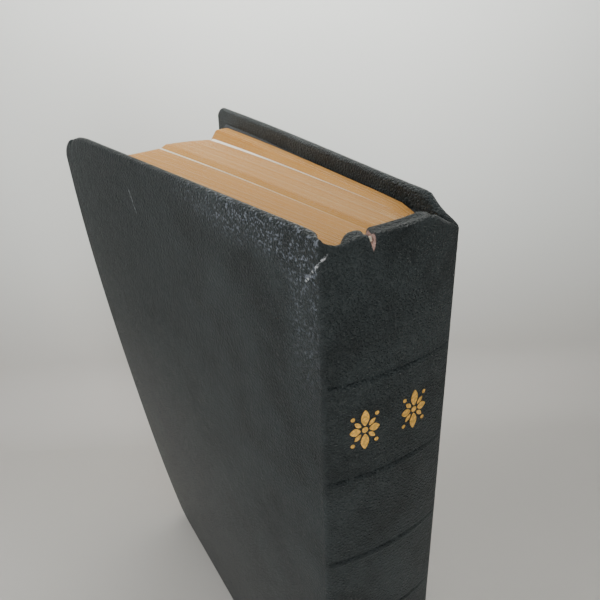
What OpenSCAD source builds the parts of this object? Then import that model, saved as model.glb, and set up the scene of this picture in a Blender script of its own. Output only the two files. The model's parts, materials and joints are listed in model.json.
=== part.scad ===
// A limp-cased leather bible, sewn in sections, standing upright on its tail.
// Z runs up the book from tail to head, the spine faces +X, the front cover faces -Y.
// The book stands relaxed: its leaves fan a little and its covers lean apart at the fore-edge.

/* [Cover] */
// Width of a cover, from the spine edge to the fore-edge
cover_w = 131; // [100:1:180]
// Height of the covers, from tail to head
cover_h = 187; // [140:1:260]
// Radius of the covers' outer corners
corner_r = 9; // [3:0.5:15]
// Thickness of the leather
leather_t = 0.9; // [0.6:0.1:1.5]
// Thickness of the thin card stiffener in each cover
board_t = 1.0; // [0.6:0.1:2.5]
// Thickness of the pared leather turned in round the board
turn_in_t = 0.5; // [0.3:0.1:1]
// Width of the leather turned in round the board
turn_in_w = 13; // [8:1:20]
// Distance from the spine edge to the line where a cover hinges
joint_w = 3.2; // [2.5:0.1:6]
// How far the front cover leans away from the leaves, in degrees
front_lean = 6; // [0:0.5:8]
// How far the back cover leans away from the leaves, in degrees
back_lean = 2.5; // [0:0.5:8]

/* [Text block] */
// How far the covers stand beyond the leaves at the head and at the tail
square = 4; // [4:0.5:8]
// How much wider a cover is than a leaf, which leaves a square at the fore-edge
fore_edge_square = 7; // [6:0.5:12]
// Radius of the leaves' outer corners
page_corner_r = 6; // [2:0.5:12]
// Thickness of one pressed section at its fold
section_t = 1.16; // [0.8:0.02:2]
// Air between one section and the next at the fold
section_gap = 0.06; // [0.04:0.01:0.3]
// Thickness of the endpaper
endpaper_t = 0.15; // [0.1:0.01:0.4]
// Clearance on each side of a free endpaper
leaf_gap = 0.12; // [0.08:0.01:0.4]

/* [Spine] */
// How far the rounded spine stands out beyond the joints
spine_round = 2.5; // [1:0.25:6]
// Thickness of the paper that lines the spine
lining_t = 0.4; // [0.2:0.05:1]
// Thickness of the open-weave mull
mull_t = 0.35; // [0.2:0.05:0.8]
// Thickness of the sewing tapes
tape_t = 0.35; // [0.2:0.05:0.8]
// Height of one sewing tape
tape_w = 12; // [6:1:18]
// Glue line between two layers of the spine
glue_gap = 0.05; // [0.03:0.01:0.1]
// Diameter of the sewing thread
thread_d = 0.3; // [0.2:0.05:0.35]
// Distance from the leaves' head or tail to the kettle stitches
kettle_inset = 10; // [6:1:14]
// How far the spine caps stand below the covers at the head, and above them at the tail
cap_drop = 1.2; // [0.5:0.1:2]
// Depth of a spine cap, from the outside of the leather inwards
cap_depth = 3.6; // [3:0.1:5]
// Diameter of the cord inside each cap
cap_cord_d = 1.4; // [0.8:0.1:1.6]
// Clearance between a cap cord and the leather rolled round it
cord_gap = 0.05; // [0.03:0.01:0.1]

/* [Tooling] */
// Height of the first tooled line below the head of the covers
first_line = 33.4; // [25:0.1:45]
// Distance from one tooled line to the next
line_pitch = 26.7; // [20:0.1:32]
// Number of tooled lines down the spine
line_count = 5; // [3:1:5]
// Width of a tooled line
line_w = 0.6; // [0.3:0.1:1.2]
// Depth of a tooled line
line_depth = 0.2; // [0.1:0.05:0.4]
// Width of a gilt ornament
ornament_w = 9; // [5:0.5:10]
// Height of a gilt ornament
ornament_h = 11.5; // [8:0.5:16]
// Distance from the front opening to the middle of the ornament ahead of it
front_ornament_y = 8; // [7:0.5:9]
// Distance from the front opening to the middle of the ornament behind it
middle_ornament_y = 5.6; // [5:0.1:6]
// Thickness of the gilt foil
foil_t = 0.08; // [0.05:0.01:0.2]

/* [Hidden] */
$fn = 64;
eps = 0.01;
// Sections ahead of the front opening, between the two openings, and behind the back one:
// NODES lists them, so these three numbers go with it.
front_sections = 12;
middle_sections = 9;
back_sections = 3;
section_count = front_sections + middle_sections + back_sections;
page_h = cover_h - 2 * square;
page_w = cover_w - fore_edge_square;
section_pitch = section_t + section_gap;
cover_t = leather_t + board_t + turn_in_t + endpaper_t;
leaf_room = endpaper_t + 2 * leaf_gap;
spine_w = section_count * section_pitch + 2 * (cover_t + leaf_room);
half_spine = spine_w / 2;
panel_w = cover_w - joint_w;

// The spine's outside is an arc through both joints; its layers are arcs on the same centre.
spine_r = (half_spine * half_spine + spine_round * spine_round) / (2 * spine_round);
spine_cx = spine_round - spine_r;
lining_r = spine_r - leather_t - glue_gap;
mull_r = lining_r - lining_t - glue_gap;
tape_r = mull_r - mull_t - glue_gap;
fold_r = tape_r - tape_t - glue_gap - section_t / 2;

// Where the text block divides, measured across the spine
front_split = -half_spine + cover_t + leaf_room + front_sections * section_pitch;
back_split = front_split + middle_sections * section_pitch;

// The origin is under the middle of the whole book.
front_reach = panel_w * cos(front_lean) + cover_t * sin(front_lean);
back_reach = panel_w * cos(back_lean) + cover_t * sin(back_lean);
low_x = -joint_w - max(front_reach, back_reach);
high_x = spine_round;
low_y = -half_spine - panel_w * sin(front_lean);
high_y = half_spine + panel_w * sin(back_lean);
centre = [(low_x + high_x) / 2, (low_y + high_y) / 2];

tape_heights = [0.16, 0.38, 0.62, 0.84];
clear_of_ends = 0.3;
// Turns each ring's seam to the far side of the spine's centre, clear of every cut.
seam_turn = 180;
pastedown_margin = 5;

function two_digits(i) = i < 10 ? str("0", i) : str(i);
function section_y(i) = -half_spine + cover_t + leaf_room + (i - 0.5) * section_pitch;
function section_x(i) = spine_cx + sqrt(fold_r * fold_r - section_y(i) * section_y(i));
function section_lean(i) = front_lean - (front_lean + back_lean) * (i - 0.5) / section_count;
// A leaning section keeps its place across the spine at the hinge line, so its fold steps aside.
function fold_step(i) = (section_x(i) + joint_w) * tan(section_lean(i));

module in_frame() translate([-centre[0], -centre[1], 0]) children();

// A slab in the cover's plane, t thick towards the leaves, rounded at the two outer corners.
module rounded_slab(w, h, r, t)
    rotate([90, 0, 0]) translate([0, 0, -t]) linear_extrude(t)
        union() {
            translate([-w + r, -h / 2]) square([w - r, h]);
            translate([-w, -h / 2 + r]) square([w, h - 2 * r]);
            for (end = [-1, 1]) translate([-w + r, end * (h / 2 - r)]) circle(r);
        }

// Places a cover's layers: drawn for the front, leaning about its own hinge line.
module front_side() in_frame() translate([-joint_w, -half_spine, cover_h / 2])
    rotate([0, 0, front_lean]) children();
module back_side() in_frame() translate([-joint_w, half_spine, cover_h / 2])
    rotate([0, 0, -back_lean]) mirror([0, 1, 0]) children();

// Cover leather: the outer skin with its edges rolled over the board and turned in.
module cover_leather() {
    board_w = panel_w - leather_t - eps;
    difference() {
        rounded_slab(panel_w, cover_h, corner_r, cover_t - endpaper_t);
        translate([0, leather_t, 0])
            rounded_slab(board_w, cover_h - 2 * leather_t, corner_r - leather_t, board_t);
        translate([1, leather_t, 0])
            rounded_slab(panel_w - turn_in_w + 1, cover_h - 2 * turn_in_w, 1, cover_t);
        translate([-1, leather_t, -cover_h / 2 + leather_t])
            cube([2, board_t, cover_h - 2 * leather_t]);
    }
}

module board() translate([0, leather_t, 0])
    rounded_slab(panel_w - leather_t - eps, cover_h - 2 * leather_t, corner_r - leather_t, board_t);

module infill() translate([0, leather_t + board_t, 0])
    rounded_slab(panel_w - turn_in_w - eps, cover_h - 2 * turn_in_w, 1, turn_in_t);

module pastedown() translate([0, cover_t - endpaper_t, 0])
    rounded_slab(panel_w - pastedown_margin, cover_h - 2 * pastedown_margin, corner_r / 2, endpaper_t);

// The free half of an endpaper, which turns on the same fold as its pastedown.
module flyleaf() translate([0, cover_t + leaf_gap, 0])
    rounded_slab(page_w - joint_w, page_h, page_corner_r, endpaper_t);

// One sewn section: a stack of folded leaves, round at its fold.
module section(i) in_frame() translate([section_x(i), section_y(i) + fold_step(i), cover_h / 2])
    rotate([0, 0, section_lean(i)]) color([0.86, 0.77, 0.58]) union() {
        translate([0, -section_t / 2, 0]) rounded_slab(page_w, page_h, page_corner_r, section_t);
        translate([0, 0, -page_h / 2]) cylinder(d = section_t, h = page_h);
    }

// A band that follows the spine's arc between two places across the spine.
module spine_band(r, t, from_y, to_y, from_z, to_z) in_frame() intersection() {
    translate([spine_cx, 0, from_z]) rotate([0, 0, seam_turn]) difference() {
        cylinder(r = r, h = to_z - from_z, $fn = 180);
        translate([0, 0, -1]) cylinder(r = r - t, h = to_z - from_z + 2, $fn = 180);
    }
    translate([-half_spine, from_y, from_z - 1]) cube([spine_w, to_y - from_y, to_z - from_z + 2]);
}

// The flat return that carries the spine's leather round the edge to the hinge line.
module joint_return(side) in_frame()
    translate([-joint_w, side > 0 ? half_spine - leather_t : -half_spine, cap_drop])
        cube([joint_w - leather_t / 2, leather_t, cover_h - 2 * cap_drop]);

// A ring on the spine's centre, used for the cords and their channels.
module spine_ring(r, d, from_y, to_y, z) in_frame() intersection() {
    translate([spine_cx, 0, z]) rotate([0, 0, seam_turn])
        rotate_extrude($fn = 180) translate([r, 0]) circle(d = d, $fn = 24);
    translate([-half_spine, from_y, z - d]) cube([spine_w, to_y - from_y, 2 * d]);
}

module tooled_line(z, from_y, to_y)
    spine_band(spine_r + 1, 1 + line_depth, from_y - 1, to_y + 1, z - line_w / 2, z + line_w / 2);

cap_cord_r = spine_r - cap_depth / 2;
cap_heights = [cap_drop + (square - cap_drop) / 2, cover_h - cap_drop - (square - cap_drop) / 2];
cap_h = square - cap_drop - clear_of_ends;

// Spine leather: the arc, its tooled lines, and a cap rolled over a cord at head and tail.
module spine_leather(from_y, to_y, cap_from, cap_to) {
    difference() {
        union() {
            spine_band(spine_r, leather_t, from_y, to_y, cap_drop, cover_h - cap_drop);
            for (z = cap_heights)
                spine_band(spine_r - leather_t / 2, cap_depth - leather_t / 2, cap_from, cap_to,
                    z - cap_h / 2, z + cap_h / 2);
        }
        for (z = cap_heights)
            spine_ring(cap_cord_r, cap_cord_d + 2 * cord_gap, cap_from - 1, cap_to + 1, z);
        for (i = [0 : line_count - 1])
            tooled_line(cover_h - first_line - i * line_pitch, from_y, to_y);
    }
}

module cap_cords(from_y, to_y) for (z = cap_heights)
    spine_ring(cap_cord_r, cap_cord_d, from_y, to_y, z);

module layer(r, t, from_y, to_y) spine_band(r, t, from_y, to_y, square, cover_h - square);

module sewing_tapes(from_y, to_y) for (share = tape_heights)
    spine_band(tape_r, tape_t, from_y, to_y,
        square + share * page_h - tape_w / 2, square + share * page_h + tape_w / 2);

// The chain of kettle stitches, as a band two threads high.
module kettle_thread(from_y, to_y) for (z = [square + kettle_inset, cover_h - square - kettle_inset])
    spine_band(tape_r, thread_d, from_y, to_y, z - thread_d, z + thread_d);

// A gilt ornament: a plain four-petalled flower with a dot in each corner, bent to the spine.
module ornament_outline() {
    petal = ornament_w / 4;
    tall = ornament_h / 2 - petal;
    circle(d = ornament_w / 6);
    for (side = [-1, 1]) {
        translate([side * (ornament_w / 2 - petal), 0]) square(petal * 1.3, center = true);
        translate([0, side * tall]) rotate(45) square(petal * 1.2, center = true);
        translate([0, side * tall / 2]) square([line_w, tall * 0.7], center = true);
        for (end = [-1, 1])
            translate([side * ornament_w / 3, end * ornament_h / 3.4]) circle(d = ornament_w / 8);
    }
}
module gilt_ornament(mid_y) in_frame() intersection() {
    translate([0, mid_y, cover_h - first_line - line_pitch / 2])
        rotate([90, 0, 90]) linear_extrude(half_spine) ornament_outline();
    translate([spine_cx, 0, 0]) rotate([0, 0, seam_turn]) difference() {
        cylinder(r = spine_r + foil_t, h = cover_h, $fn = 180);
        translate([0, 0, -1]) cylinder(r = spine_r, h = cover_h + 2, $fn = 180);
    }
}

inner_edge = half_spine - leather_t - eps;
cap_edge = half_spine - cover_t - leaf_room;
black_leather = [0.09, 0.10, 0.12];
card = [0.55, 0.52, 0.46];
paper = [0.88, 0.84, 0.74];
cloth = [0.80, 0.78, 0.70];
gilt = [0.80, 0.58, 0.16];

module front_cover_leather() color(black_leather) front_side() cover_leather();
module front_board() color(card) front_side() board();
module front_infill() color(card) front_side() infill();
module front_pastedown() color(black_leather) front_side() pastedown();
module back_cover_leather() color(black_leather) back_side() cover_leather();
module back_board() color(card) back_side() board();
module back_infill() color(card) back_side() infill();
module back_pastedown() color(black_leather) back_side() pastedown();
module front_flyleaf() color(paper) front_side() flyleaf();
module back_flyleaf() color(paper) back_side() flyleaf();
module front_spine_leather() color(black_leather) union() {
    spine_leather(-half_spine, front_split, -cap_edge, front_split);
    joint_return(-1);
}
module middle_spine_leather() color(black_leather)
    spine_leather(front_split, back_split, front_split, back_split);
module back_spine_leather() color(black_leather) union() {
    spine_leather(back_split, half_spine, back_split, cap_edge);
    joint_return(1);
}
module front_spine_lining() color(paper) layer(lining_r, lining_t, -inner_edge, front_split);
module middle_spine_lining() color(paper) layer(lining_r, lining_t, front_split, back_split);
module back_spine_lining() color(paper) layer(lining_r, lining_t, back_split, inner_edge);
module front_mull() color(cloth) layer(mull_r, mull_t, -inner_edge, front_split);
module middle_mull() color(cloth) layer(mull_r, mull_t, front_split, back_split);
module back_mull() color(cloth) layer(mull_r, mull_t, back_split, inner_edge);
module front_sewing_tapes() color(cloth) sewing_tapes(-cap_edge, front_split);
module middle_sewing_tapes() color(cloth) sewing_tapes(front_split, back_split);
module back_sewing_tapes() color(cloth) sewing_tapes(back_split, cap_edge);
module front_kettle_thread() color(cloth) kettle_thread(-cap_edge, front_split);
module middle_kettle_thread() color(cloth) kettle_thread(front_split, back_split);
module back_kettle_thread() color(cloth) kettle_thread(back_split, cap_edge);
module front_cap_cords() color(cloth) cap_cords(-cap_edge, front_split);
module middle_cap_cords() color(cloth) cap_cords(front_split, back_split);
module back_cap_cords() color(cloth) cap_cords(back_split, cap_edge);
module front_gilt_ornament() color(gilt) gilt_ornament(front_split - front_ornament_y);
module middle_gilt_ornament() color(gilt) gilt_ornament(front_split + middle_ornament_y);

front_cover_leather();
front_board();
front_infill();
front_pastedown();
back_cover_leather();
back_board();
back_infill();
back_pastedown();
front_flyleaf();
back_flyleaf();
for (i = [1 : section_count])
    section(i);
front_spine_leather();
middle_spine_leather();
back_spine_leather();
front_spine_lining();
middle_spine_lining();
back_spine_lining();
front_mull();
middle_mull();
back_mull();
front_sewing_tapes();
middle_sewing_tapes();
back_sewing_tapes();
front_kettle_thread();
middle_kettle_thread();
back_kettle_thread();
front_cap_cords();
middle_cap_cords();
back_cap_cords();
front_gilt_ornament();
middle_gilt_ornament();
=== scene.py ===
"""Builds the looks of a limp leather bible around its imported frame, laid out as an add-on."""

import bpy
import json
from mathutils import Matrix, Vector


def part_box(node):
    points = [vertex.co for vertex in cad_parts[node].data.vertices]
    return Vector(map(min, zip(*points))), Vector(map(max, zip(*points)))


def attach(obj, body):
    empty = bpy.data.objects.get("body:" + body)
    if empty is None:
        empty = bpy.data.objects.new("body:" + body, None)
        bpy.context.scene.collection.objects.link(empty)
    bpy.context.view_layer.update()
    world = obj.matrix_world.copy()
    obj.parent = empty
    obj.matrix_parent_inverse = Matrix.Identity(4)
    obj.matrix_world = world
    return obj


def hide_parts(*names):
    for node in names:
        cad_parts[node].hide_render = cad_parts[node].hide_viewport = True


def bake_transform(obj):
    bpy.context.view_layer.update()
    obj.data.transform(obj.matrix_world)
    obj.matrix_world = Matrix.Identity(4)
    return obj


bl_info = {
    "name": "Leather Bible",
    "version": (1, 0, 0),
    "blender": (4, 5, 0),
    "location": "View3D > Sidebar > Bible",
    "description": "Builds the leather, leaves, linings and gilt of a bible around its frame",
    "category": "Add Mesh",
}

import json
import math

import bmesh
import bpy
import numpy as np
from mathutils import Matrix, Vector

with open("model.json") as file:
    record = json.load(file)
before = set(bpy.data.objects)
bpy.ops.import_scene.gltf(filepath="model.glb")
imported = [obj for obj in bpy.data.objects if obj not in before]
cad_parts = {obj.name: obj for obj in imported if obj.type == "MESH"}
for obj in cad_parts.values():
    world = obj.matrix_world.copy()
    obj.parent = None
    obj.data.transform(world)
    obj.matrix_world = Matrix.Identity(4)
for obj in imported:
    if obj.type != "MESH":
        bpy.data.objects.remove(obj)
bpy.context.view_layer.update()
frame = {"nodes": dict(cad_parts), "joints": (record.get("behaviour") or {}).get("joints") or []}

MM = 0.001
FRONT, BACK = -1, 1
SECTION_COUNT = 24
FRONT_SECTIONS = 12
BACK_SECTIONS = 3
BODY_OF_PART = {"front": "front_leaves", "middle": "middle_leaves", "back": "back_leaves"}


def joint_place(name):
    """Where a joint's axis stands, in metres."""
    return Vector(next(j["pos_m"] for j in frame["joints"] if j["name"] == name))


def reach(node, hinge):
    """The farthest that a node reaches from a hinge line."""
    return max((v.co.xy - hinge.xy).length for v in frame["nodes"][node].data.vertices)


FRONT_HINGE = joint_place("front_cover_hinge")
BACK_HINGE = joint_place("back_cover_hinge")
FRONT_SPLIT = joint_place("front_leaves_turn")
BACK_SPLIT = joint_place("back_leaves_turn")
HINGE_X = FRONT_HINGE.x
MID_Y = (FRONT_HINGE.y + BACK_HINGE.y) / 2
HALF_SPINE = (BACK_HINGE.y - FRONT_HINGE.y) / 2
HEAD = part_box("front_cover_leather")[1].z
PANEL = reach("front_cover_leather", FRONT_HINGE)

# The spine's outside is an arc through the pivots of the two openings.
ARC_STEP = Vector((FRONT_SPLIT.x - BACK_SPLIT.x, BACK_SPLIT.y - FRONT_SPLIT.y))
SPINE_R = ARC_STEP.length_squared / (2 * ARC_STEP.x)
SPINE_CX = FRONT_SPLIT.x - SPINE_R

FLAT_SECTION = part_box("section_17")
LEAF_W = FLAT_SECTION[1].x - FLAT_SECTION[0].x
LEAF_TAIL, LEAF_HEAD = FLAT_SECTION[0].z, FLAT_SECTION[1].z
FLYLEAF_CLEAR = 0.14 * MM
FIRST_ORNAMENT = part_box("front_gilt_ornament")
SECOND_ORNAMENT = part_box("middle_gilt_ornament")


def length(name, millimetres, description):
    return bpy.props.FloatProperty(name=name, description=description, default=millimetres * MM,
                                   subtype="DISTANCE", unit="LENGTH", precision=5)


def colour(name, default, description):
    return bpy.props.FloatVectorProperty(name=name, description=description, default=default,
                                         subtype="COLOR", size=3, min=0, max=1)


class BibleSizes(bpy.types.PropertyGroup):
    """Sizes of the visible leather, leaves and gilt."""
    cover_t: length("Cover thickness", 2.4, "Thickness of a cover, without its endpaper")
    leather_t: length("Leather thickness", 0.9, "Thickness of the leather on the spine")
    endpaper_t: length("Endpaper thickness", 0.15, "Thickness of a pastedown or a free endpaper")
    turn_in_w: length("Turn-in width", 13, "Width of the leather turned in round each board")
    corner_r: length("Cover corner height", 9, "Height of the covers' rounded outer corners")
    front_corner_w: length("Front corner width", 6.5, "Width of the front cover's rounded corners")
    back_corner_w: length("Back corner width", 4.5, "Width of the back cover's rounded corners")
    front_spread: length("Front cover spread", 18.5, "How far the front cover's head stands away")
    back_spread: length("Back cover spread", 5.5, "How far the back cover's head stands away")
    spine_corner_r: length("Spine corner radius", 1.3, "Radius where the spine turns into a joint")
    cap_depth: length("Cap depth", 4.9, "Depth of the leather cap at the head and the tail")
    cap_h: length("Cap height", 2.2, "Height of the rolled leather in each cap")
    line_depth: length("Tooled line depth", 0.42, "Depth of a blind-tooled line on the spine")
    leaves_per_section: bpy.props.IntProperty(
        name="Leaves per section", description="Leaf packs drawn in one section",
        default=8, min=1, max=28)
    leaf_sag: length("Leaf sag", 5.4, "How far the leaves' head sinks towards the fore-edge")
    leaf_play: length("Leaf play", 0.02, "How unevenly the leaves stand, up and down")
    seed: bpy.props.IntProperty(
        name="Seed", description="Seed of the leaves' unevenness", default=7)


class BibleColours(bpy.types.PropertyGroup):
    """Colours of the finishes."""
    leather: colour("Leather", (0.0200, 0.0255, 0.0265), "Blue-black goatskin")
    leather_worn: colour("Worn leather", (0.26, 0.26, 0.25), "Leather rubbed at its edges")
    leather_torn: colour("Torn leather", (0.42, 0.27, 0.23), "Flesh side, shown by the tear")
    paper: colour("Paper", (0.95, 0.92, 0.84), "Face of a leaf")
    leaf_edge: colour("Leaf edge", (0.40, 0.185, 0.036), "Faded gilt on the leaves' edges")
    endpaper: colour("Endpaper", (0.018, 0.020, 0.022), "Black endpaper")
    gilt: colour("Gilt", (0.92, 0.52, 0.10), "Hot-stamped foil on the spine")
    floor: colour("Floor", (0.52, 0.505, 0.475), "Pale floor")
    backdrop: colour("Backdrop", (0.63, 0.645, 0.62), "Pale backdrop")


def smooth(x, low, high):
    """0 below low, 1 above high, and a smooth rise between them."""
    t = np.clip((x - low) / (high - low), 0, 1)
    return t * t * (3 - 2 * t)


def bump(x, middle, width):
    """A bell of height 1 about the middle."""
    return np.exp(-((x - middle) / width) ** 2)


class Binding:
    """The book's curved surfaces, in metres: covers, joints, spine and the room between them."""

    JOINT_EASE = 2.5 * MM
    STEP = 0.05 * MM
    CORNER_POINTS, ARC_POINTS = 24, 240
    # Faint waves in each cover: height, lengths along and up the cover, and phases
    FRONT_COCKLE = (0.16 * MM, 17 * MM, 21 * MM, 1.0, 0.4)
    BACK_COCKLE = (0.14 * MM, 19 * MM, 18 * MM, 2.0, 1.1)
    COCKLE_FROM = 20 * MM

    def __init__(self, sizes):
        self.sizes = sizes
        self._lay_spine()
        self.girth = 2 * PANEL + self.core_length

    def _lay_spine(self):
        """One line from the front hinge round the spine to the back hinge."""
        r = self.sizes.spine_corner_r
        inner_y = HALF_SPINE - r
        corner_x = SPINE_CX + math.sqrt((SPINE_R - r) ** 2 - inner_y ** 2)
        turn = math.asin(inner_y / (SPINE_R - r))
        angles = np.linspace(-math.pi / 2, -turn, self.CORNER_POINTS)
        corner = np.stack([corner_x + r * np.cos(angles), -inner_y + r * np.sin(angles)], 1)
        angles = np.linspace(-turn, turn, self.ARC_POINTS)[1:-1]
        arc = np.stack([SPINE_CX + SPINE_R * np.cos(angles), SPINE_R * np.sin(angles)], 1)
        mirrored = corner[::-1] * (1, -1)
        ends = np.array([[HINGE_X, HALF_SPINE]])
        line = np.concatenate([ends * (1, -1), corner, arc, mirrored, ends])
        steps = np.linalg.norm(np.diff(line, axis=0), axis=1)
        self.core_line = line
        self.core_along = np.concatenate([[0], np.cumsum(steps)])
        self.core_length = self.core_along[-1]
        self.corner_at = self.core_along[self.CORNER_POINTS // 2]
        self.spine_length = self.core_length - 2 * self.corner_at

    def cockle(self, s, z, height, length, rise, s_phase, z_phase):
        """A faint wave in a cover, s from its hinge, that fades out at the joint."""
        wave = height * np.sin(s / length + s_phase) * np.sin(z / rise + z_phase)
        return wave * smooth(s, 0, self.COCKLE_FROM)

    def front_spread(self, s, z):
        """How far the front cover stands out, s from its hinge: it twists shut at the tail."""
        share = np.clip((HEAD - z) / HEAD, 0, 1)
        slope = self.sizes.front_spread / (PANEL - self.JOINT_EASE) * (1 - share ** 1.6)
        eased = s - self.JOINT_EASE * (1 - np.exp(-s / self.JOINT_EASE))
        return slope * eased + self.cockle(s, z, *self.FRONT_COCKLE)

    def back_spread(self, s, z):
        """How far the back cover swells out, s from its hinge."""
        share = np.clip((HEAD - z) / HEAD, 0, 1)
        rise = self.sizes.back_spread * (1 - 0.45 * share)
        angle = math.pi / 2 * np.clip(s / PANEL, 0, 1)
        return rise * np.sin(angle) ** 1.5 + self.cockle(s, z, *self.BACK_COCKLE)

    def _cover_line(self, side, s, z):
        out = self.front_spread(s, z) if side == FRONT else self.back_spread(s, z)
        along = np.sign(s) * np.sqrt(np.maximum(s * s - out * out, 0))
        return HINGE_X - along, MID_Y + side * (HALF_SPINE + out)

    def cover(self, side, s, z, depth):
        """A point in a cover: s from its hinge line, and depth in from its outside."""
        x, y = self._cover_line(side, s, z)
        x_far, y_far = self._cover_line(side, s + self.STEP, z)
        x_near, y_near = self._cover_line(side, s - self.STEP, z)
        dx, dy = x_far - x_near, y_far - y_near
        size = np.hypot(dx, dy)
        return np.stack([x - side * depth * dy / size, y + side * depth * dx / size,
                         z + 0 * x], -1)

    def core(self, along, z, depth):
        """A point in the joints and spine: along from the front hinge line."""
        def place(value):
            return (np.interp(value, self.core_along, self.core_line[:, 0]),
                    np.interp(value, self.core_along, self.core_line[:, 1]))
        x, y = place(along)
        x_far, y_far = place(min(along + 4 * self.STEP, self.core_length))
        x_near, y_near = place(max(along - 4 * self.STEP, 0))
        dx, dy = x_far - x_near, y_far - y_near
        size = math.hypot(dx, dy)
        return np.stack([x - depth * dy / size, MID_Y + y + depth * dx / size,
                         z + 0 * depth], -1)

    def wrap(self, u, z, depth):
        """A point in the whole wrap: u from the front fore-edge round to the back one."""
        if u < PANEL:
            return self.cover(FRONT, np.full_like(z, PANEL - u), z, depth)
        if u > PANEL + self.core_length:
            return self.cover(BACK, np.full_like(z, u - PANEL - self.core_length), z, depth)
        return self.core(u - PANEL, z, depth)

    def across(self, u):
        """Distance round the spine from its front corner."""
        return u - PANEL - self.corner_at

    def from_fore_edge(self, u):
        """Distance round the wrap to the nearer fore-edge."""
        return min(u, self.girth - u)

    def u_at_spine(self, y):
        """The place round the wrap that lies at y from the middle of the spine."""
        on_arc = np.abs(self.core_line[:, 1]) < HALF_SPINE - self.sizes.spine_corner_r / 2
        return PANEL + float(np.interp(y, self.core_line[on_arc, 1], self.core_along[on_arc]))

    def spine_x(self, y):
        """The outside of the spine at y from its middle."""
        return SPINE_CX + np.sqrt(SPINE_R ** 2 - y ** 2)


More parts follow.
